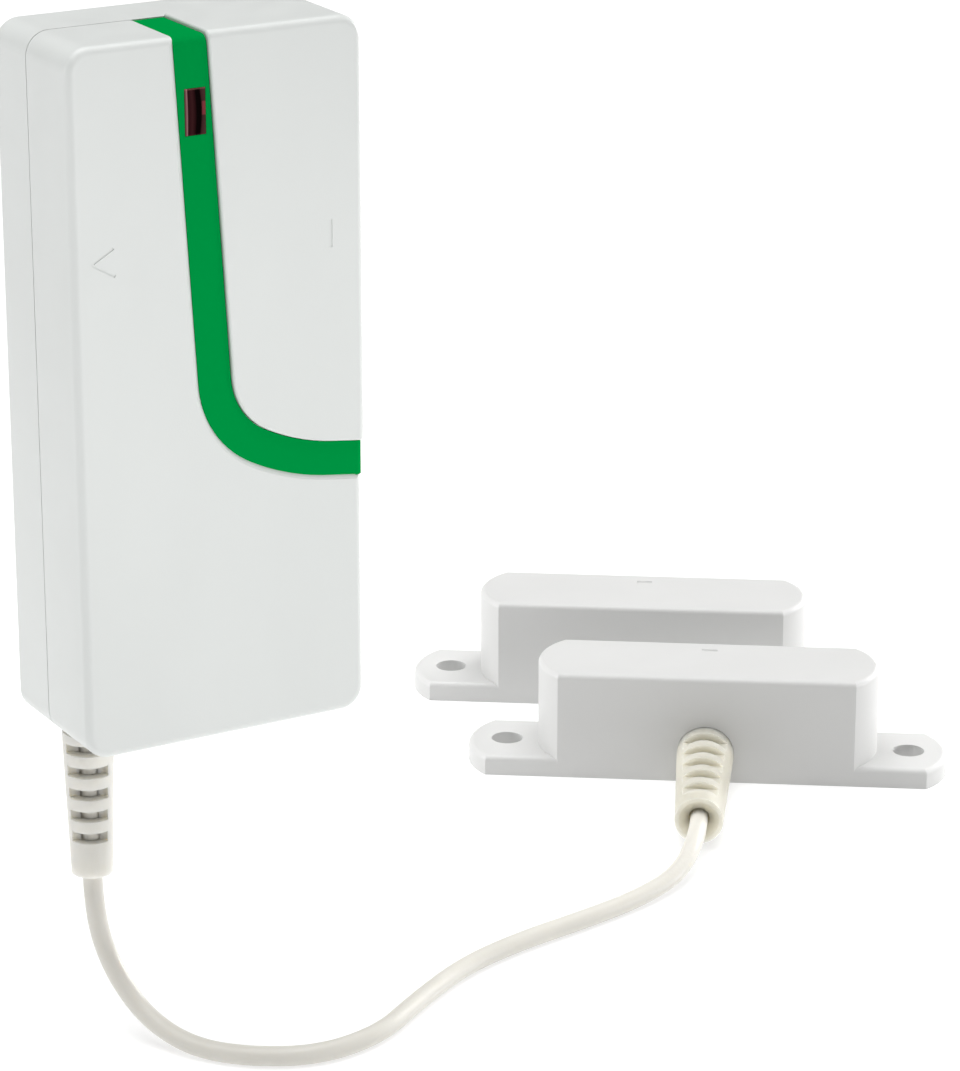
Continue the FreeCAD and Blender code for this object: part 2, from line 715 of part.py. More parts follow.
def make_window():
    body = new_part("status_window")
    corner = (WINDOW_X + " - window_width / 2 + window_clearance", "-" + STRIPE_FACE,
              WINDOW_Z + " - window_height / 2 + window_clearance")
    extent = ("window_width - 2 * window_clearance", "%s - (%s)" % (STRIPE_FACE, INNER_FRONT),
              "window_height - 2 * window_clearance")
    block(body, "window_pane", corner, extent)
    corner = (WINDOW_X + " - window_width / 2 - window_flange", "-" + INNER_FRONT,
              WINDOW_Z + " - window_height / 2 - window_flange")
    extent = ("window_width + 2 * window_flange", "window_flange_depth", "window_height + 2 * window_flange")
    block(body, "window_flange", corner, extent)
    return body


# Circuit board and what it carries


def on_board(body, label, left, bottom, extent):
    """Stand a block on the board's front; extent is its width, its height up the board and its depth."""
    width, height, depth = extent
    return block(body, label, (left, "-(%s) - (%s)" % (BOARD_FRONT, depth), bottom), (width, depth, height))


def make_board():
    body = new_part("circuit_board")
    block(body, "board_plate", (BOARD_LEFT, "-" + BOARD_FRONT, BOARD_BOTTOM),
          ("%s - %s" % (BOARD_RIGHT, BOARD_LEFT), "board_thickness", "%s - %s" % (BOARD_TOP, BOARD_BOTTOM)))
    for name, x, z in board_corners():
        rod(body, name + "_board_hole", (x, "0", z), "screw_diameter / 2 + screw_clearance",
            "%s + past" % BOARD_FRONT, "front", cut=True)
    return body


def make_board_screws():
    """The four screws, as separate solids, each seated with its head on the board."""
    solids = []
    front = "-(%s) - screw_head_height" % BOARD_FRONT
    for name, x, z in board_corners():
        shank = doc.addObject("Part::Cylinder", name + "_shank")
        bind(shank, Radius="screw_diameter / 2", Height="screw_length + screw_head_height")
        head = doc.addObject("Part::Cylinder", name + "_head")
        bind(head, Radius="screw_head_diameter / 2", Height="screw_head_height")
        for item in (shank, head):
            item.Placement = Placement(Vector(), DIRECTIONS["back"])
            bind_place(item, (x, front, z))
        screw = doc.addObject("Part::Fuse", name + "_screw")
        screw.Base = head
        screw.Tool = shank
        solids.append(screw)
    return group("board_screws", solids)


def group(label, members):
    """Keep identical or matching solids together under one name."""
    compound = doc.addObject("Part::Compound", label)
    compound.Label = label
    compound.Links = members
    parts.append(compound)
    return compound


def make_led():
    body = new_part("status_led")
    reach = "%s - %s - led_diameter / 2" % (LED_REACH, BOARD_FRONT)
    foot = (WINDOW_X, "-" + BOARD_FRONT, WINDOW_Z)
    rod(body, "led_stem", foot, "led_diameter / 2", reach, "front")
    rod(body, "led_rim", foot, "led_diameter / 2 + led_rim", "led_rim_height", "front")
    dome = body.newObject("PartDesign::AdditiveSphere", "led_dome")
    bind(dome, Radius="led_diameter / 2")
    bind_place(dome, (WINDOW_X, "-(%s - led_diameter / 2)" % LED_REACH, WINDOW_Z))
    return body


TERMINAL_LOW = "%s + post_inset * 2" % BOARD_BOTTOM
SCREW_LEVEL = "%s + terminal_height / 2" % TERMINAL_LOW
WIRE_DEPTH = "%s + terminal_depth / 3" % BOARD_FRONT


def terminal_entry_x(side):
    return "%s + terminal_width / 2 + %d * terminal_width / 4" % (BOARD_LEFT, side)


def make_terminal():
    body = new_part("terminal_block")
    on_board(body, "terminal_body", BOARD_LEFT, TERMINAL_LOW,
             ("terminal_width", "terminal_height", "terminal_depth"))
    for name, side in (("left", -1), ("right", 1)):
        x = terminal_entry_x(side)
        rod(body, name + "_entry", (x, "-(%s)" % WIRE_DEPTH, "%s - past" % TERMINAL_LOW),
            "terminal_entry / 2", "terminal_height / 2 + past", cut=True)
        mouth = (x, "-(%s) - terminal_depth - past" % BOARD_FRONT, SCREW_LEVEL)
        rod(body, name + "_well", mouth, "terminal_screw_diameter / 2 + screw_clearance",
            "terminal_screw_depth + past", "back", cut=True)
    return body


def make_terminal_screws():
    """Two slotted clamp screws, flush in their wells."""
    solids = []
    for name, side in (("left", -1), ("right", 1)):
        head = doc.addObject("Part::Cylinder", name + "_clamp_head")
        bind(head, Radius="terminal_screw_diameter / 2", Height="terminal_screw_depth")
        head.Placement = Placement(Vector(), DIRECTIONS["back"])
        x = terminal_entry_x(side)
        bind_place(head, (x, "-(%s) - terminal_depth" % BOARD_FRONT, SCREW_LEVEL))
        slot = doc.addObject("Part::Box", name + "_clamp_slot")
        bind(slot, Length="terminal_screw_diameter + 2 * past", Width="terminal_screw_depth / 2 + past",
             Height="clamp_slot")
        bind_place(slot, ("%s - terminal_screw_diameter / 2 - past" % x,
                          "-(%s) - terminal_depth - past" % BOARD_FRONT, "%s - clamp_slot / 2" % SCREW_LEVEL))
        screw = doc.addObject("Part::Cut", name + "_clamp_screw")
        screw.Base = head
        screw.Tool = slot
        solids.append(screw)
    return group("terminal_screws", solids)


def make_tamper_switch():
    body = new_part("tamper_switch")
    on_board(body, "tamper_body", TAMPER_X + " - tamper_side / 2", "tamper_z - tamper_side / 2",
             ("tamper_side", "tamper_side", "tamper_height"))
    rod(body, "tamper_collar", (TAMPER_X, "-(%s) - tamper_height + sunk" % BOARD_FRONT, "tamper_z"),
        "plunger_diameter / 2 + collar_wall", "collar_height + sunk", "front")
    rod(body, "tamper_bore", (TAMPER_X, "-(%s) - plunger_seat" % BOARD_FRONT, "tamper_z"),
        "plunger_diameter / 2 + plunger_clearance", PLUNGER_REACH, "front", cut=True)
    return body


def make_tamper_plunger():
    body = new_part("tamper_plunger")
    start = "%s + plunger_seat + plunger_play" % BOARD_FRONT
    rod(body, "plunger_stem", (TAMPER_X, "-(%s)" % start, "tamper_z"), "plunger_diameter / 2",
        "%s - (%s)" % (PLUNGER_REACH, start), "front")
    reach = -size(PLUNGER_REACH)
    dress(body, "plunger_tip", "Fillet", "plunger_diameter / 6", lambda edge: lies_at(edge, "y", reach))
    return body


def make_radio():
    body = new_part("radio_module")
    left = "%s + radio_inset" % BOARD_LEFT
    bottom = BOARD_TOP + " - radio_drop - radio_height"
    on_board(body, "radio_plate", left, bottom, ("radio_width", "radio_height", "radio_thickness"))
    block(body, "radio_shield",
          ("%s + shield_inset" % left, "-(%s) - radio_thickness - shield_height" % BOARD_FRONT,
           "%s + shield_inset" % bottom),
          ("radio_width - 2 * shield_inset", "shield_height", "radio_height - 2 * shield_inset"))
    return body


def make_controller():
    body = new_part("control_chip")
    on_board(body, "chip_body", "%s + chip_inset" % BOARD_LEFT, "%s + chip_rise" % BOARD_BOTTOM,
             ("chip_side", "chip_side", "chip_height"))
    top = -size("%s + chip_height" % BOARD_FRONT)
    dress(body, "chip_edge", "Chamfer", "chip_height / 5", lambda edge: lies_at(edge, "y", top))
    return body


def make_capacitor():
    body = new_part("capacitor")
    foot = (BOARD_RIGHT + " - capacitor_inset", "-" + BOARD_FRONT, BOARD_TOP + " - capacitor_drop")
    rod(body, "capacitor_can", foot, "capacitor_diameter / 2", "capacitor_height", "front")
    top = -size("%s + capacitor_height" % BOARD_FRONT)
    dress(body, "capacitor_rim", "Fillet", "capacitor_diameter / 10", lambda edge: lies_at(edge, "y", top))
    return body


def make_crystal():
    """The crystal lies beside the radio, above the tamper switch."""
    body = new_part("crystal_can")
    left = "%s + radio_inset + radio_width + crystal_gap" % BOARD_LEFT
    bottom = "tamper_z + tamper_side / 2 + crystal_gap"
    on_board(body, "crystal_body", left, bottom, ("crystal_width", "crystal_length", "crystal_height"))
    return body


# Battery bay

def make_tray():
    body = new_part("battery_tray")
    block(body, "tray_block", (TRAY_LEFT, "-back_wall - tray_depth", TRAY_BOTTOM),
          (TRAY_WIDTH, "tray_depth", TRAY_LENGTH))
    rod(body, "tray_trough", (BATTERY_X, "-" + BATTERY_DEPTH, TRAY_BOTTOM + " + tray_end"),
        BATTERY + " / 2 + battery_clearance", TRAY_LENGTH + " - 2 * tray_end", cut=True)
    return body


def make_battery():
    body = new_part("battery")
    start = (BATTERY_X, "-" + BATTERY_DEPTH, BATTERY_BOTTOM)
    rod(body, "battery_can", start, BATTERY + " / 2", "battery_length")
    dress(body, "battery_rims", "Fillet", "battery_rim", lambda edge: isinstance(edge.Curve, Part.Circle))
    tip = (BATTERY_X, "-" + BATTERY_DEPTH, BATTERY_BOTTOM + " + battery_length")
    rod(body, "battery_tip", tip, "battery_tip_diameter / 2", "battery_tip")
    return body


def make_battery_contact(label, bottom, bump_start, bump_length):
    """A plate in the tray's end, with a round bump that presses on the battery."""
    body = new_part(label)
    corner = (BATTERY_X + " - spring_width / 2", "-%s - spring_width / 4" % BATTERY_DEPTH, bottom)
    block(body, label + "_plate", corner, ("spring_width", "3 * spring_width / 4", "spring_plate"))
    foot = (BATTERY_X, "-" + BATTERY_DEPTH, bump_start)
    rod(body, label + "_bump", foot, "battery_tip_diameter / 4", bump_length)
    return body


def make_battery_contacts():
    low_plate = TRAY_BOTTOM + " + tray_end"
    make_battery_contact("negative_contact", low_plate, low_plate, "spring_gap")
    high_end = "%s + %s - tray_end" % (TRAY_BOTTOM, TRAY_LENGTH)
    make_battery_contact("positive_contact", "%s - spring_plate" % high_end, "%s - spring_gap" % high_end,
                         "spring_gap")


# Strain reliefs: each is made along +Z from the wall that it leaves, then set in its place

def make_relief(label, wall):
    """A tapered sleeve with slots on two sides, side rails, a neck in the wall and a flange behind it."""
    body = new_part(label)
    root = label + "_root"
    tip = label + "_tip"
    length = label + "_length"
    web = label + "_web / 2"
    cone(body, label + "_sleeve", ("0", "0", "0"), root, tip, length)
    rod(body, label + "_neck", ("0", "0", "-(%s)" % wall), "relief_neck", wall)
    foot = ("0", "0", "-(%s) - relief_flange" % wall)
    rod(body, label + "_flange", foot, "relief_flange_radius", "relief_flange")
    for number in range(int(size(label + "_slots"))):
        low = "%s_first + %d * %s_pitch" % (label, number, label)
        radius = "(%s - (%s - %s) * (%s) / %s)" % (root, root, tip, low, length)
        half = "(%s - %s_rail)" % (radius, label)
        for side, start in (("front", "-%s - past" % root), ("rear", web)):
            block(body, "%s_%s_slot_%d" % (label, side, number), ("-" + half, start, low),
                  ("2 * " + half, "%s + past - %s" % (root, web), label + "_slot"), cut=True)
    bore = "cord_diameter / 2 + relief_bore_gap"
    rod(body, label + "_bore", ("0", "0", "-(%s) - relief_flange - past" % wall), bore,
        "%s + %s + relief_flange + 2 * past" % (length, wall), cut=True)
    cone(body, label + "_cup", ("0", "0", "%s - relief_cup_depth" % length), bore,
         "%s - relief_cup_rim" % tip, "relief_cup_depth", cut=True)
    return body


def make_case_relief():
    """Hang the relief from the bottom wall of the transmitter, with its slots turned to one side."""
    body = make_relief("case_relief", "case_wall")
    facing = Rotation(Vector(0, 0, 1), size("case_relief_turn"))
    body.Placement = Placement(Vector(), facing * DIRECTIONS["down"])
    bind_place(body, (RELIEF_X, "-" + AXIS_DEPTH, "-case_height / 2"))
    return body


# Contact housings: made with the middle of the lower front edge at the origin, then set on the floor

def bulged_outline(body, label, length, bulge):
    """Sketch a bar whose front and back are straight and whose ends swell outward as arcs."""
    sketch = new_sketch(body, label, "XY_Plane")
    half = size(length) / 2
    depth = size("contact_depth")
    swell = size(bulge)
    front_left = Vector(-half, 0, 0)
    front_right = Vector(half, 0, 0)
    back_left = Vector(-half, depth, 0)
    back_right = Vector(half, depth, 0)
    sketch.addGeometry(Part.LineSegment(front_left, front_right), False)
    sketch.addGeometry(Part.Arc(front_right, Vector(half + swell, depth / 2, 0), back_right), False)
    sketch.addGeometry(Part.LineSegment(back_right, back_left), False)
    sketch.addGeometry(Part.Arc(back_left, Vector(-half - swell, depth / 2, 0), front_left), False)
    for one, other in (((0, 2), (1, 1)), ((1, 2), (2, 1)), ((2, 2), (3, 1)), ((3, 2), (0, 1))):
        sketch.addConstraint(Sketcher.Constraint("Coincident", *one, *other))
    sketch.addConstraint(Sketcher.Constraint("Horizontal", 2))
    sketch.addConstraint(Sketcher.Constraint("PointOnObject", 0, 1, -1))
    sketch.addConstraint(Sketcher.Constraint("Symmetric", 0, 1, 0, 2, -1, 1))
    sketch.addConstraint(Sketcher.Constraint("Vertical", 0, 2, 1, 2))
    constrain(sketch, "DistanceX", (0, 1, 0, 2), length)
    constrain(sketch, "DistanceX", (2, 2, 2, 1), length)
    constrain(sketch, "DistanceY", (0, 2, 1, 2), "contact_depth")
    radius = "(contact_depth ^ 2 / 4 + %s ^ 2) / (2 * %s)" % (bulge, bulge)
    constrain(sketch, "Radius", (1,), radius)
    constrain(sketch, "Radius", (3,), radius)
    return sketch


CAVITY_LENGTH = "block_length - 2 * contact_wall"
CAVITY_DEPTH = "contact_depth - 2 * contact_wall"
LID_LENGTH = "%s + 2 * lid_seat" % CAVITY_LENGTH
LID_DEPTH = "%s + 2 * lid_seat" % CAVITY_DEPTH
# The tick is a shallow round scoop
TICK_RADIUS = "(tick_width ^ 2 / 4 + tick_depth ^ 2) / (2 * tick_depth)"


def make_housing(label):
    body = new_part(label)
    ear_outline = bulged_outline(body, label + "_ear_outline", "ear_length", "ear_bulge")
    pad(body, label + "_ears", ear_outline, "ear_thickness")
    block_outline = bulged_outline(body, label + "_block_outline", "block_length", "block_bulge")
    pad(body, label + "_block", block_outline, "contact_height")
    top = size("contact_height")
    ear_top = size("ear_thickness")
    ear_end = size("ear_length / 2")

    def exposed(edge):
        furthest = max(edge.BoundBox.XMax, -edge.BoundBox.XMin)
        on_ear = lies_at(edge, "z", ear_top) and (furthest > ear_end or near(furthest, ear_end))
        return lies_at(edge, "z", top) or on_ear

    dress(body, label + "_rounds", "Fillet", "contact_round", exposed)
    block(body, label + "_cavity", ("-(%s) / 2" % CAVITY_LENGTH, "contact_wall", "-past"),
          (CAVITY_LENGTH, CAVITY_DEPTH, "contact_height - contact_wall + past"), cut=True)
    corner = ("-(%s) / 2 - lid_clearance" % LID_LENGTH, "contact_wall - lid_seat - lid_clearance", "-past")
    seat_length = "%s + 2 * lid_clearance" % LID_LENGTH
    seat_depth = "%s + 2 * lid_clearance" % LID_DEPTH
    block(body, label + "_lid_seat", corner, (seat_length, seat_depth, "lid_thickness + past"), cut=True)
    for name, side in (("left", "-1"), ("right", "1")):
        foot = ("%s * ear_hole_spacing / 2" % side, "contact_depth / 2", "-past")
        rod(body, "%s_%s_hole" % (label, name), foot, "ear_hole_diameter / 2", "ear_thickness + 2 * past",
            cut=True)
    start = ("-tick_length / 2", "contact_depth - tick_back",
             "contact_height - tick_depth + " + TICK_RADIUS)
    rod(body, label + "_tick", start, TICK_RADIUS, "tick_length", "right", cut=True)
    return body


def make_lid(label):
    """The plate that closes a housing from below, flush with the underside."""
    body = new_part(label)
    block(body, label + "_plate", ("-(%s) / 2" % LID_LENGTH, "contact_wall - lid_seat", "0"),
          (LID_LENGTH, LID_DEPTH, "lid_thickness"))
    return body


def turned(along, back, rise="0"):
    """Place a point that is measured along, back and up from the reed contact's lower front edge."""
    turn = "contact_turn * 1 deg"
    x = "reed_x + (%s) * cos(%s) - (%s) * sin(%s)" % (along, turn, back, turn)
    y = "reed_y + (%s) * sin(%s) + (%s) * cos(%s)" % (along, turn, back, turn)
    return x, y, "-floor_drop + " + rise


def set_contact(bodies, shift="0", back="0"):
    """Turn the pieces of a contact and set them down on the floor."""
    for body in bodies:
        body.Placement = Placement(Vector(), Rotation(Vector(0, 0, 1), size("contact_turn")))
        bind_place(body, turned(shift, back))
        body.setExpression("Placement.Rotation.Angle", formula("contact_turn * 1 deg"))


GLASS_Y = "switch_back"
GLASS_Z = "switch_height"


def make_reed_glass():
    """A closed glass tube round the two blades."""
    body = new_part("reed_glass")
    start = ("-glass_length / 2", GLASS_Y, GLASS_Z)
    rod(body, "glass_tube", start, "glass_diameter / 2", "glass_length", "right")
    start = ("-glass_length / 2 + glass_plug", GLASS_Y, GLASS_Z)
    rod(body, "glass_bore", start, "glass_diameter / 2 - glass_wall",
        "glass_length - 2 * glass_plug", "right", cut=True)
    for name, side, height in (
            ("left", "-glass_length / 2 - past", "-blade_gap / 2 - blade_thickness"),
            ("right", "glass_length / 2 - glass_plug - past", "blade_gap / 2")):
        corner = (side, "%s - blade_width / 2" % GLASS_Y, "%s + %s" % (GLASS_Z, height))
        extent = ("glass_plug + 2 * past", "blade_width", "blade_thickness")
        block(body, name + "_blade_seal", corner, extent, cut=True)
    return body


def make_reed_blades():
    """Two flat blades that overlap with a small gap in the middle of the glass."""
    blades = []
    length = "glass_length / 2 + blade_overlap / 2 + blade_lead"
    for name, left, height in (
            ("left", "-glass_length / 2 - blade_lead", "-blade_gap / 2 - blade_thickness"),
            ("right", "-blade_overlap / 2", "blade_gap / 2")):
        blade = doc.addObject("Part::Box", name + "_blade")
        bind(blade, Length=length, Width="blade_width", Height="blade_thickness")
        bind_place(blade, (left, "%s - blade_width / 2" % GLASS_Y, "%s + %s" % (GLASS_Z, height)))
        blades.append(blade)
    return group("reed_blades", blades)


def make_reed_cradle():
    """Two notched posts that stand on the lid and hold the glass near its ends."""
    posts = []
    for name, side in (("left", "-1"), ("right", "1")):
        left = "%s * cradle_spacing / 2 - cradle_thickness / 2" % side
        post = doc.addObject("Part::Box", name + "_cradle_post")
        bind(post, Length="cradle_thickness", Width="cradle_width", Height="%s - lid_thickness" % GLASS_Z)
        bind_place(post, (left, "%s - cradle_width / 2" % GLASS_Y, "lid_thickness"))
        notch = doc.addObject("Part::Cylinder", name + "_cradle_notch")
        bind(notch, Radius="glass_diameter / 2 + cradle_clearance", Height="cradle_thickness + 2 * past")
        notch.Placement = Placement(Vector(), DIRECTIONS["right"])
        bind_place(notch, (left + " - past", GLASS_Y, GLASS_Z))
        holder = doc.addObject("Part::Cut", name + "_cradle")
        holder.Base = post
        holder.Tool = notch
        posts.append(holder)
    return group("reed_cradle", posts)


def make_magnet():
    body = new_part("bar_magnet")
    corner = ("-magnet_length / 2", "contact_depth / 2 - magnet_width / 2", "lid_thickness + magnet_seat")
    block(body, "magnet_bar", corner, ("magnet_length", "magnet_width", "magnet_thickness"))
    dress(body, "magnet_edges", "Chamfer", "magnet_bevel",
          lambda edge: near(edge.Length, size("magnet_length")))
    return body


def make_magnet_cradle():
    """A channel on the lid that the bar magnet lies in."""
    body = new_part("magnet_cradle")
    width = "magnet_width + 2 * magnet_clearance + 2 * magnet_rail"
    corner = ("-magnet_length / 3", "contact_depth / 2 - (%s) / 2" % width, "lid_thickness")
    block(body, "cradle_bar", corner, ("2 * magnet_length / 3", width, "magnet_seat + magnet_thickness / 2"))
    corner = ("-magnet_length / 2", "contact_depth / 2 - magnet_width / 2 - magnet_clearance",
              "lid_thickness + magnet_seat")
    block(body, "cradle_channel", corner,
          ("magnet_length", "magnet_width + 2 * magnet_clearance", "magnet_thickness"), cut=True)
    return body


def make_reed_contact():
    housing = make_housing("reed_housing")
    rod(housing, "cord_hole", ("0", "-past", "reed_relief_height"), "relief_neck + relief_wall_gap",
        "contact_wall + 2 * past", "back", cut=True)
    set_contact([housing, make_lid("reed_lid"), make_reed_glass(), make_reed_blades(), make_reed_cradle()])


def make_reed_relief():
    """Set the relief square to the front face of the reed housing."""
    body = make_relief("reed_relief", "contact_wall")
    turn = Rotation(Vector(0, 0, 1), size("contact_turn")) * DIRECTIONS["front"]
    body.Placement = Placement(Vector(), turn)
    bind_place(body, turned("0", "0", "reed_relief_height"))
    return body


def make_magnet_contact():
    pieces = [make_housing("magnet_housing"), make_lid("magnet_lid"), make_magnet(), make_magnet_cradle()]
    set_contact(pieces, "magnet_shift", "magnet_back")


# Cord, its ends in the reliefs, and the wires inside

# The share of the shorter run beside a corner that the corner's arc takes up
ARC_SHARE = 0.45


def tube(label, points, diameter):
    """Sweep a round section along straight runs joined by tangent arcs, and report the arcs' radii."""
    points = [Vector(*point) for point in points]
    edges = []
    radii = []
    reached = points[0]
    for before, corner, after in zip(points, points[1:], points[2:]):
        arriving = (corner - before).normalize()
        leaving = (after - corner).normalize()
        half_turn = arriving.getAngle(leaving) / 2
        setback = ARC_SHARE * min(corner.distanceToPoint(before), corner.distanceToPoint(after))
        radii.append(setback / math.tan(half_turn))
        arc_start = corner - arriving * setback
        arc_end = corner + leaving * setback
        middle_way = (leaving - arriving).normalize()
        sagitta = radii[-1] * (1 / math.cos(half_turn) - 1)
        edges.append(Part.LineSegment(reached, arc_start).toShape())
        edges.append(Part.Arc(arc_start, corner + middle_way * sagitta, arc_end).toShape())
        reached = arc_end
    edges.append(Part.LineSegment(reached, points[-1]).toShape())
    path = Part.Wire(edges)
    section = Part.Wire(Part.Circle(points[0], points[1] - points[0], diameter / 2).toShape())
    solid = path.makePipeShell([section], True, False)
    feature = doc.addObject("Part::Feature", label)
    feature.Shape = solid
    feature.Label = label
    expected = math.pi * diameter ** 2 / 4 * path.Length
    bends = ", ".join("%.1f" % radius for radius in radii)
    print("%s: length %.1f mm, volume %.4f of its section times its length, bends %s mm" % (
        label, path.Length, solid.Volume / expected, bends))
    return feature


def place_of(corner):
    """Work out a place that is given as three expressions."""
    return Vector(*[size(text) for text in corner])


def make_cord():
    """The free cord: down from the transmitter, onto the floor and round to the reed contact."""
    case_end = place_of((RELIEF_X, "-" + AXIS_DEPTH, "-case_height / 2 - case_relief_length"))
    reed_end = place_of(turned("0", "-reed_relief_length", "reed_relief_height"))
    reed_lead = place_of(turned("0", "-reed_relief_length - reed_cord_lead", "reed_relief_height"))
    floor_line = size("-floor_drop + cord_diameter / 2")
    drop = case_end.z
    route = [
        tuple(case_end),
        (case_end.x, case_end.y, drop - size("case_cord_lead")),
        (-13.4, -13.0, drop - 12.6),
        (-11.4, -18.2, drop - 17.6),
        (-8.4, -24.8, floor_line),
        (-3.4, -31.0, floor_line),
        (4.6, -35.0, floor_line),
        (14.0, -33.4, floor_line),
        (22.0, -27.8, floor_line),
        (32.5, -21.4, floor_line),
        (43.0, -18.2, floor_line),
        (54.5, -16.4, floor_line),
        (64.5, -14.2, floor_line),
        (72.6, -11.4, floor_line + 0.8),
        tuple(reed_lead),
        tuple(reed_end),
    ]
    parts.append(tube("signal_cord", route, size("cord_diameter")))


def make_case_wires():
    """The cord's end inside the transmitter: its jacket up through the relief, then its two wires."""
    jacket = doc.addObject("Part::Cylinder", "case_cord_end")
    jacket.Label = "case_cord_end"
    bind(jacket, Radius="cord_diameter / 2", Height="case_relief_length + case_wall + case_jacket_end")
    bind_place(jacket, (RELIEF_X, "-" + AXIS_DEPTH, "-case_height / 2 - case_relief_length"))
    parts.append(jacket)
    wires = []
    for name, side in (("left", -1), ("right", 1)):
        start_x = "%s + %d * (wire_diameter + wire_gap) / 2" % (RELIEF_X, side)
        start = place_of((start_x, "-" + AXIS_DEPTH, "-case_height / 2 + case_wall + case_jacket_end"))
        entry = place_of((terminal_entry_x(side), "-(%s)" % WIRE_DEPTH, TERMINAL_LOW))
        route = [
            start,
            start + Vector(0, 0, size("wire_rise")),
            entry - Vector(0, 0, size("wire_run_in")),
            entry + Vector(0, 0, size("terminal_height / 2")),
        ]
        wires.append(tube(name + "_case_wire", route, size("wire_diameter")))
    group("case_wires", wires)


def make_reed_wires():
    """The cord's end inside the reed contact: its jacket through the relief, then its two wires."""
    jacket = doc.addObject("Part::Cylinder", "reed_cord_end")
    jacket.Label = "reed_cord_end"
    bind(jacket, Radius="cord_diameter / 2", Height="reed_relief_length + contact_wall + reed_jacket_end")
    turn = Rotation(Vector(0, 0, 1), size("contact_turn")) * DIRECTIONS["back"]
    jacket.Placement = Placement(Vector(), turn)
    bind_place(jacket, turned("0", "-reed_relief_length", "reed_relief_height"))
    parts.append(jacket)
    low = size("reed_relief_height")
    jacket_end = size("contact_wall + reed_jacket_end")
    solder_x = size("glass_length / 2 + blade_lead - solder_inset")
    back = size(GLASS_Y)
    wires = []
    for name, side in (("left", -1), ("right", 1)):
        start_x = side * size("(wire_diameter + wire_gap) / 2")
        blade_middle = "%s + %d * (blade_gap + blade_thickness) / 2" % (GLASS_Z, side)
        underside = size("%s - blade_thickness / 2" % blade_middle)
        route = [
            (start_x, jacket_end, low),
            (start_x, jacket_end + 2, low),
            (side * 3.2, jacket_end + 3, low),
            (side * 8.5, jacket_end + 3.1, low),
            (side * solder_x, back, low),
            (side * solder_x, back, underside),
        ]
        wires.append(tube(name + "_reed_wire", route, size("wire_diameter")))
    set_contact([group("reed_wires", wires)])


def make_aerial():
    """A stiff wire that stands off the board and runs up its right side."""
    foot = place_of((BOARD_RIGHT + " - aerial_inset", "-" + BOARD_FRONT, BOARD_TOP + " - aerial_drop"))
    corner = foot - Vector(0, size("aerial_stand_off"), 0)
    tip = corner + Vector(0, 0, size("aerial_rise"))
    parts.append(tube("aerial_wire", [foot, corner, tip], size("aerial_diameter")))


make_case_base()
make_cover()
make_stripe()
make_window()
make_board()
make_board_screws()
make_led()
make_terminal()
make_terminal_screws()
make_tamper_switch()
make_tamper_plunger()
make_radio()
make_controller()
make_capacitor()
make_crystal()
make_tray()
make_battery()
make_battery_contacts()
make_case_relief()
make_case_wires()
make_aerial()
make_reed_contact()
make_reed_relief()
make_reed_wires()
make_magnet_contact()
make_cord()
doc.recompute()

for item in doc.Objects:
    if "Invalid" in item.State or "Error" in item.State:
        raise RuntimeError("%s is %s" % (item.Label, item.State))
for item in parts:
    if item.Shape.isNull() or not item.Shape.isValid():
        raise RuntimeError("%s has no valid shape" % item.Label)

os.makedirs("parts", exist_ok=True)
for item in parts:
    item.Shape.exportStep("parts/%s.step" % item.Label)
    print("%-18s %d solids, volume %.1f" % (item.Label, len(item.Shape.Solids), item.Shape.Volume))
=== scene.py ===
import bpy
import math
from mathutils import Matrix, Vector


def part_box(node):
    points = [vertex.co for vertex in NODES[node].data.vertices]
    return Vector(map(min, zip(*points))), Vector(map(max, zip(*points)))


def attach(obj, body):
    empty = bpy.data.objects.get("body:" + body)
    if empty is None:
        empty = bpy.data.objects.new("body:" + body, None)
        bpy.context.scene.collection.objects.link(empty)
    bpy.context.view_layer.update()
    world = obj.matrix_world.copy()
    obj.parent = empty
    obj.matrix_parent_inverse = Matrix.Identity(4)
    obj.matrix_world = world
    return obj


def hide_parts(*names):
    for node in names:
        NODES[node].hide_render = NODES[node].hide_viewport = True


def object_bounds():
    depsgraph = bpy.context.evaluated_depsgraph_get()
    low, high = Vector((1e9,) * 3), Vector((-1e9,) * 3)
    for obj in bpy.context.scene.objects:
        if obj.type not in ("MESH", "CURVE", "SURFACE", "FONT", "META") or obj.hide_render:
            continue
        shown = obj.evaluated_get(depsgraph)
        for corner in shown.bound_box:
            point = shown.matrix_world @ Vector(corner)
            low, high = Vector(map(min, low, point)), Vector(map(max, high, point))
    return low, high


# A garage door sensor on a pale floor: the transmitter, its cord and the two contacts.
# Everything is in metres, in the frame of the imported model.

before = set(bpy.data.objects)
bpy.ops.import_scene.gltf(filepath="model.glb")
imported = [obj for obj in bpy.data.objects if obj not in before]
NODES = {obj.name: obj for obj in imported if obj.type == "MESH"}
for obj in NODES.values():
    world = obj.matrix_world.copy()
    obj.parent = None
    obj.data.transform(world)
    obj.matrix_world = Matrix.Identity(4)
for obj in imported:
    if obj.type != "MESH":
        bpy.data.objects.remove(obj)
cad_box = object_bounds()
MM = 0.001
FLOOR = cad_box[0].z

# The camera stands where the photograph was taken from
AZIMUTH = -30
ELEVATION = 19
CAMERA_PLACE = Vector((-0.21269, -0.45089, 0.14694))
FOCAL_PIXELS = 4170
PICTURE_HEIGHT = 1071
SENSOR = 36

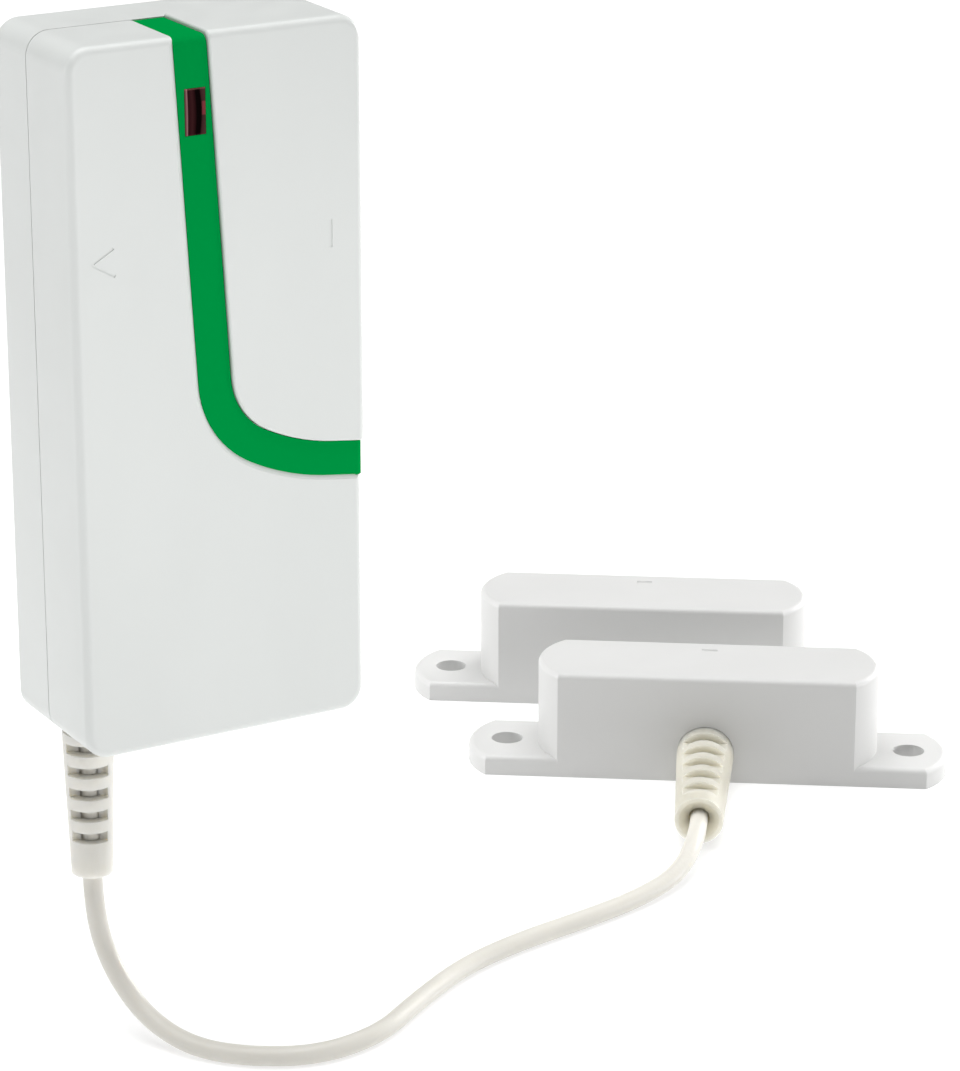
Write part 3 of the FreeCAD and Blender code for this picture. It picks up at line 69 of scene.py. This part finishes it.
# The cord's route, from the end of the case relief to the end of the reed relief
CORD_DIAMETER = 0.0025
CORD_ROUTE = [
    (-0.0144, -0.01025, -0.063),
    (-0.0144, -0.01025, -0.069),
    (-0.0134, -0.0130, -0.0756),
    (-0.0114, -0.0182, -0.0806),
    (-0.0084, -0.0248, -0.08275),
    (-0.0034, -0.0310, -0.08275),
    (0.0046, -0.0350, -0.08275),
    (0.0140, -0.0334, -0.08275),
    (0.0220, -0.0278, -0.08275),
    (0.0325, -0.0214, -0.08275),
    (0.0430, -0.0182, -0.08275),
    (0.0545, -0.0164, -0.08275),
    (0.0645, -0.0142, -0.08275),
    (0.0726, -0.0114, -0.08195),
    (0.078506, -0.006484, -0.0796),
    (0.081661, -0.001979, -0.0796),
]


def make_camera():
    data = bpy.data.cameras.new("camera")
    data.sensor_width = SENSOR
    data.lens = FOCAL_PIXELS / PICTURE_HEIGHT * SENSOR
    data.clip_start = 0.01
    camera = bpy.data.objects.new("camera", data)
    camera.location = CAMERA_PLACE
    camera.rotation_euler = (math.radians(90 - ELEVATION), 0, math.radians(AZIMUTH))
    bpy.context.scene.collection.objects.link(camera)
    bpy.context.scene.camera = camera


def make_cord(material):
    """The free cord, as a smooth curve that its route steers."""
    data = bpy.data.curves.new("signal_lead", "CURVE")
    data.dimensions = "3D"
    data.bevel_depth = CORD_DIAMETER / 2
    data.bevel_resolution = 8
    data.resolution_u = 16
    spline = data.splines.new("NURBS")
    spline.points.add(len(CORD_ROUTE) - 1)
    for point, place in zip(spline.points, CORD_ROUTE):
        point.co = (*place, 1)
    spline.order_u = 3
    spline.use_endpoint_u = True
    data.materials.append(material)
    cord = bpy.data.objects.new("signal_lead", data)
    bpy.context.scene.collection.objects.link(cord)
    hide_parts("signal_cord")
    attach(cord, "fixed")


# The status window: the size of its pane, and the bands across it from left to right: light bands are
# painted highlights that stand in for its bevels' reflections, and dark bands are painted shade that stands
# in for the hollow behind it
PANE_WIDTH = 0.0028
PANE_HEIGHT = 0.0056
BLACK = (0, 0, 0)
WHITE = (1, 1, 1)
WINDOW_PAINTED_GLINTS_AND_SHADE = [
    (0.0, (0.070, 0.016, 0.020)),
    (0.07, (0.15, 0.055, 0.06)),
    (0.13, (0.27, 0.14, 0.14)),
    (0.18, (0.022, 0.003, 0.005)),
    (0.38, (0.034, 0.009, 0.010)),
    (0.50, (0.018, 0.003, 0.004)),
    (0.58, (0.0015, 0.0, 0.0)),
    (0.78, (0.002, 0.0, 0.0)),
    (0.84, (0.040, 0.014, 0.014)),
    (1.0, (0.060, 0.028, 0.024)),
]
# How far the painted bands bow toward the middle at the top and the bottom, and the painted highlights on
# the rims there
WINDOW_BOW = 0.5
WINDOW_PAINTED_RIM_GLINTS = [
    (0.0, (0.02, 0.008, 0.008)),
    (0.03, BLACK),
    (0.96, BLACK),
    (0.985, (0.10, 0.045, 0.035)),
]
# A painted glow of the lamp behind the pane, which is no lit lamp: its colour, and where it starts and ends
# across the pane and up it
PAINTED_LAMP_GLOW = (0.13, 0.015, 0.022)
PAINTED_GLOW_ACROSS = [(0.80, BLACK), (0.85, WHITE)]
PAINTED_GLOW_UP = [(0.40, BLACK), (0.43, WHITE), (0.69, WHITE), (0.72, BLACK)]

# The part of the noise's range over which a finish goes from one value to the other
NOISE_LOW = 0.3
NOISE_HIGH = 0.7

# The floor's reach, grey and glow, the ceiling's power, softness and tilt, and the glow all round
FLOOR_REACH = 6
FLOOR_GREY = (0.5, 0.5, 0.5)
FLOOR_GLOW = 0.57
CEILING_POWER = 3.5
CEILING_SOFTNESS = 60
CEILING_TILT = -4
STUDIO_GLOW = 0.06

# The soft lamps: name, place, what each one faces, width, height, power in watts and spread in degrees
CONTACTS = (0.104, 0.040, -0.072)
LAMPS = [
    ("front_fill", (0.02, -0.28, 0.0), (-0.01, 0.0, 0.0), 0.09, 0.13, 0.030, 60),
    ("left_fill", (-0.45, 0.22, 0.06), (0.02, 0.0, -0.02), 0.20, 0.20, 0.25, 120),
    ("right_fill", (0.60, 0.16, 0.06), (0.08, 0.03, -0.05), 0.25, 0.20, 0.85, 120),
    ("left_end", (-0.142, 0.211, -0.055), CONTACTS, 0.12, 0.05, 0.026, 50),
    ("right_end", (0.374, -0.148, -0.050), CONTACTS, 0.12, 0.05, 0.038, 50),
]


# Materials: plain values sit on the shader's own sockets, and textures are measured in the model's metres

class Finish:
    """One material, with a few short calls that add its detail."""

    def __init__(self, name, colour, roughness, **sockets):
        self.material = bpy.data.materials.new(name)
        self.material.use_nodes = True
        self.tree = self.material.node_tree
        self.shader = self.tree.nodes["Principled BSDF"]
        self.colour = colour
        self.shader.inputs["Base Color"].default_value = (*colour, 1)
        self.shader.inputs["Roughness"].default_value = roughness
        for socket, value in sockets.items():
            self.shader.inputs[socket.replace("_", " ")].default_value = value
        self.place = self.tree.nodes.new("ShaderNodeTexCoord").outputs["Object"]
        self.height = None

    def noise(self, grain, detail=3, stretch=(1, 1, 1)):
        """Soft noise whose blotches are about one grain across."""
        mapping = self.tree.nodes.new("ShaderNodeMapping")
        mapping.inputs["Scale"].default_value = stretch
        self.tree.links.new(self.place, mapping.inputs["Vector"])
        texture = self.tree.nodes.new("ShaderNodeTexNoise")
        texture.inputs["Scale"].default_value = 1 / grain
        texture.inputs["Detail"].default_value = detail
        self.tree.links.new(mapping.outputs["Vector"], texture.inputs["Vector"])
        return texture.outputs["Fac"]

    def ramp(self, factor, stops):
        node = self.tree.nodes.new("ShaderNodeValToRGB")
        elements = node.color_ramp.elements
        while len(elements) < len(stops):
            elements.new(0.5)
        for element, (position, colour) in zip(elements, stops):
            element.position = position
            element.color = (*colour, 1)
        self.tree.links.new(factor, node.inputs["Fac"])
        return node.outputs["Color"]

    def tint(self, factor, darker, low=NOISE_LOW, high=NOISE_HIGH):
        """Vary the colour between a darker share of itself and itself."""
        dark = tuple(channel * darker for channel in self.colour)
        self.feed("Base Color", self.ramp(factor, [(low, dark), (high, self.colour)]))
        return self

    def gloss(self, factor, smooth, rough):
        """Vary the roughness."""
        node = self.tree.nodes.new("ShaderNodeMapRange")
        node.inputs["From Min"].default_value = NOISE_LOW
        node.inputs["From Max"].default_value = NOISE_HIGH
        node.inputs["To Min"].default_value = smooth
        node.inputs["To Max"].default_value = rough
        self.tree.links.new(factor, node.inputs["Value"])
        self.tree.links.new(node.outputs["Result"], self.shader.inputs["Roughness"])
        return self

    def bump(self, factor, depth, strength=1):
        """Raise the surface by up to a depth, on top of any bump before it."""
        node = self.tree.nodes.new("ShaderNodeBump")
        node.inputs["Distance"].default_value = depth
        node.inputs["Strength"].default_value = strength
        self.tree.links.new(factor, node.inputs["Height"])
        if self.height is not None:
            self.tree.links.new(self.height, node.inputs["Normal"])
        self.height = node.outputs["Normal"]
        self.tree.links.new(self.height, self.shader.inputs["Normal"])
        return self

    def shine(self, level):
        """Set how strongly the surface mirrors its surroundings, from 0 to 1, where 0.5 is the usual."""
        self.shader.inputs["Specular IOR Level"].default_value = level
        return self

    def translucent(self, share, reach):
        """Let a share of the light travel through soft plastic for about the reach."""
        self.shader.inputs["Subsurface Weight"].default_value = share
        self.shader.inputs["Subsurface Radius"].default_value = (1, 0.95, 0.85)
        self.shader.inputs["Subsurface Scale"].default_value = reach
        return self

    def along(self, axis, start, end):
        """How far a point lies between two places on one axis, from 0 to 1."""
        split = self.tree.nodes.new("ShaderNodeSeparateXYZ")
        self.tree.links.new(self.place, split.inputs["Vector"])
        node = self.tree.nodes.new("ShaderNodeMapRange")
        node.inputs["From Min"].default_value = start
        node.inputs["From Max"].default_value = end
        self.tree.links.new(split.outputs[axis], node.inputs["Value"])
        return node.outputs["Result"]

    def mix(self, mode, first, second):
        """Blend two colours that vary, or one that varies with a fixed one."""
        node = self.tree.nodes.new("ShaderNodeMix")
        node.data_type = "RGBA"
        node.blend_type = mode
        node.inputs["Factor"].default_value = 1
        self.tree.links.new(first, node.inputs["A"])
        if isinstance(second, tuple):
            node.inputs["B"].default_value = (*second, 1)
        else:
            self.tree.links.new(second, node.inputs["B"])
        return node.outputs["Result"]

    def maths(self, operation, first, second):
        """Work out a value from two others, each of which varies or is fixed."""
        node = self.tree.nodes.new("ShaderNodeMath")
        node.operation = operation
        for socket, value in zip(node.inputs, (first, second)):
            if isinstance(value, (int, float)):
                socket.default_value = value
            else:
                self.tree.links.new(value, socket)
        return node.outputs["Value"]

    def feed(self, socket, value):
        self.tree.links.new(value, self.shader.inputs[socket])

    def on(self, *names):
        """Give this finish to nodes of the frame."""
        for name in names:
            materials = NODES[name].data.materials
            materials.clear()
            materials.append(self.material)
        return self


def moulded(name, colour, roughness, grain):
    """Satin moulded plastic: a fine eroded texture, faint flow marks and a slightly uneven sheen."""
    finish = Finish(name, colour, roughness, IOR=1.5)
    flow = finish.noise(14 * MM, detail=2, stretch=(1, 1, 0.35))
    finish.tint(flow, 0.975)
    finish.gloss(finish.noise(4 * MM), roughness - 0.04, roughness + 0.05)
    finish.bump(finish.noise(grain, detail=2), 0.012 * MM)
    finish.bump(flow, 0.04 * MM)
    return finish


def make_white_plastic():
    moulded("case_white", (0.69, 0.71, 0.695), 0.42, 0.22 * MM).on("case_base", "front_cover")
    contact = moulded("contact_white", (0.63, 0.63, 0.622), 0.4, 0.3 * MM)
    contact.shine(0.25).on("reed_housing", "reed_lid", "magnet_housing", "magnet_lid")


def make_stripe_green():
    moulded("stripe_green", (0.0, 0.272, 0.052), 0.38, 0.25 * MM).shine(0).on("front_stripe")


def make_window_and_painted_light():
    """Smoked red plastic whose colour holds painted light: painted highlights of its bevels, painted shade
    of the hollow behind it, painted highlights on its rims and a painted glow of the lamp behind it.
    """
    finish = Finish("window_smoke", (0.022, 0.006, 0.006), 0.1, IOR=1.49).shine(0.02)
    low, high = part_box("status_window")
    middle = (low + high) / 2
    across = finish.along("X", middle.x - PANE_WIDTH / 2, middle.x + PANE_WIDTH / 2)
    up = finish.along("Z", middle.z - PANE_HEIGHT / 2, middle.z + PANE_HEIGHT / 2)
    height = finish.maths("SUBTRACT", up, 0.5)
    bow = finish.maths("MULTIPLY", finish.maths("MULTIPLY", height, height), WINDOW_BOW)
    bowed = finish.maths("MULTIPLY", across, finish.maths("ADD", bow, 1))
    # Painted highlights and painted shade: light bands for the bevels' reflections and rims, dark bands for
    # the hollow behind the pane
    painted_glints_and_shade = finish.mix("ADD", finish.ramp(bowed, WINDOW_PAINTED_GLINTS_AND_SHADE), finish.ramp(up, WINDOW_PAINTED_RIM_GLINTS))
    # A painted glow of the lamp behind the pane, put into the base colour
    painted_glow = finish.mix("MULTIPLY", finish.ramp(across, PAINTED_GLOW_ACROSS), finish.ramp(up, PAINTED_GLOW_UP))
    finish.feed("Base Color", finish.mix("ADD", painted_glints_and_shade, finish.mix("MULTIPLY", painted_glow, PAINTED_LAMP_GLOW)))
    finish.bump(finish.noise(1.5 * MM, detail=4), 0.02 * MM)
    finish.on("status_window")


def make_reliefs():
    """Two soft mouldings of one ivory: the reed contact's is the creamier, and light goes further in it."""
    for name, colour, reach, node in (("relief_ivory", (0.71, 0.695, 0.645), 2.5 * MM, "case_relief"),
                                      ("relief_cream", (0.545, 0.525, 0.45), 6 * MM, "reed_relief")):
        relief = Finish(name, colour, 0.5, IOR=1.48)
        relief.translucent(0.9, reach)
        relief.tint(relief.noise(5 * MM), 0.96)
        relief.bump(relief.noise(0.35 * MM), 0.02 * MM)
        relief.on(node)


def make_jacket():
    """The cord's finish, which its jacketed ends inside the reliefs share."""
    jacket = Finish("cord_ivory", (0.70, 0.682, 0.63), 0.42, IOR=1.5)
    jacket.translucent(0.5, 1 * MM)
    jacket.tint(jacket.noise(9 * MM), 0.95)
    jacket.bump(jacket.noise(0.5 * MM, detail=4), 0.03 * MM)
    jacket.on("case_cord_end", "reed_cord_end")
    return jacket.material


def make_board_finishes():
    board = Finish("board_green", (0.015, 0.13, 0.045), 0.35, IOR=1.5)
    tracks = board.noise(1.2 * MM, detail=0, stretch=(1, 1, 0.25))
    board.tint(tracks, 0.6, low=0.48, high=0.52)
    board.bump(tracks, 0.03 * MM)
    board.on("circuit_board")
    black = moulded("black_plastic", (0.02, 0.02, 0.022), 0.45, 0.2 * MM)
    black.on("control_chip", "capacitor", "tamper_switch")
    moulded("terminal_plastic", (0.04, 0.20, 0.07), 0.4, 0.2 * MM).on("terminal_block")
    grey = moulded("tray_grey", (0.5, 0.51, 0.52), 0.45, 0.25 * MM)
    grey.on("battery_tray", "reed_cradle", "magnet_cradle")
    moulded("switch_red", (0.55, 0.02, 0.015), 0.22, 0.3 * MM).on("status_led", "tamper_plunger")
    moulded("wire_jacket", (0.50, 0.03, 0.02), 0.4, 0.3 * MM).on("case_wires", "reed_wires")


def make_metals():
    steel = Finish("plated_steel", (0.62, 0.63, 0.64), 0.28, Metallic=1)
    steel.tint(steel.noise(0.8 * MM, stretch=(1, 1, 0.1)), 0.85)
    steel.bump(steel.noise(0.25 * MM, stretch=(1, 1, 0.08)), 0.01 * MM)
    steel.on("board_screws", "terminal_screws", "radio_module", "crystal_can", "negative_contact",
             "positive_contact", "reed_blades")
    wire = Finish("tinned_copper", (0.75, 0.55, 0.36), 0.25, Metallic=1)
    wire.tint(wire.noise(1.5 * MM), 0.8)
    wire.on("aerial_wire")
    ferrite = Finish("magnet_grey", (0.06, 0.06, 0.065), 0.55, Metallic=0.3)
    ferrite.tint(ferrite.noise(0.6 * MM, detail=5), 0.7)
    ferrite.bump(ferrite.noise(0.4 * MM, detail=5), 0.03 * MM)
    ferrite.on("bar_magnet")


def make_battery_wrap():
    wrap = Finish("battery_wrap", (0.05, 0.055, 0.07), 0.3, IOR=1.5)
    wrap.tint(wrap.noise(7 * MM), 0.8)
    wrap.bump(wrap.noise(2 * MM), 0.03 * MM)
    wrap.on("battery")


def make_glass():
    glass = Finish("clear_glass", (0.9, 0.95, 0.93), 0.03, IOR=1.5)
    glass.shader.inputs["Transmission Weight"].default_value = 1
    glass.bump(glass.noise(4 * MM, detail=1), 0.01 * MM)
    glass.on("reed_glass")


def make_floor():
    """A pale sheet that runs on past the camera's view."""
    data = bpy.data.meshes.new("floor")
    corners = [(x * FLOOR_REACH, y * FLOOR_REACH, FLOOR) for x, y in ((-1, -1), (1, -1), (1, 1), (-1, 1))]
    data.from_pydata(corners, [], [(0, 1, 2, 3)])
    finish = Finish("floor_paper", FLOOR_GREY, 0.9).shine(0)
    finish.shader.inputs["Emission Color"].default_value = (*WHITE, 1)
    finish.shader.inputs["Emission Strength"].default_value = FLOOR_GLOW
    data.materials.append(finish.material)
    floor = bpy.data.objects.new("floor", data)
    bpy.context.scene.collection.objects.link(floor)


def softbox(name, place, target, width, height, power, spread):
    """A soft rectangular lamp that faces a target, with a grid that keeps its light within the spread."""
    data = bpy.data.lights.new(name, "AREA")
    data.shape = "RECTANGLE"
    data.size = width
    data.size_y = height
    data.energy = power
    data.spread = math.radians(spread)
    lamp = bpy.data.objects.new(name, data)
    lamp.location = place
    lamp.rotation_euler = (Vector(place) - Vector(target)).to_track_quat("Z", "Y").to_euler()
    bpy.context.scene.collection.objects.link(lamp)


def make_lights():
    """A soft studio: lamps at the sides, a broad ceiling and a little light from all round."""
    for lamp in LAMPS:
        softbox(*lamp)
    data = bpy.data.lights.new("ceiling", "SUN")
    data.angle = math.radians(CEILING_SOFTNESS)
    data.energy = CEILING_POWER
    ceiling = bpy.data.objects.new("ceiling", data)
    ceiling.rotation_euler = (math.radians(CEILING_TILT), 0, 0)
    bpy.context.scene.collection.objects.link(ceiling)
    world = bpy.data.worlds.new("studio")
    world.use_nodes = True
    background = world.node_tree.nodes["Background"]
    background.inputs["Color"].default_value = (*WHITE, 1)
    background.inputs["Strength"].default_value = STUDIO_GLOW
    bpy.context.scene.world = world
    bpy.context.scene.view_settings.view_transform = "Standard"


make_camera()
make_cord(make_jacket())
make_white_plastic()
make_stripe_green()
make_window_and_painted_light()
make_reliefs()
make_board_finishes()
make_metals()
make_battery_wrap()
make_glass()
make_floor()
make_lights()
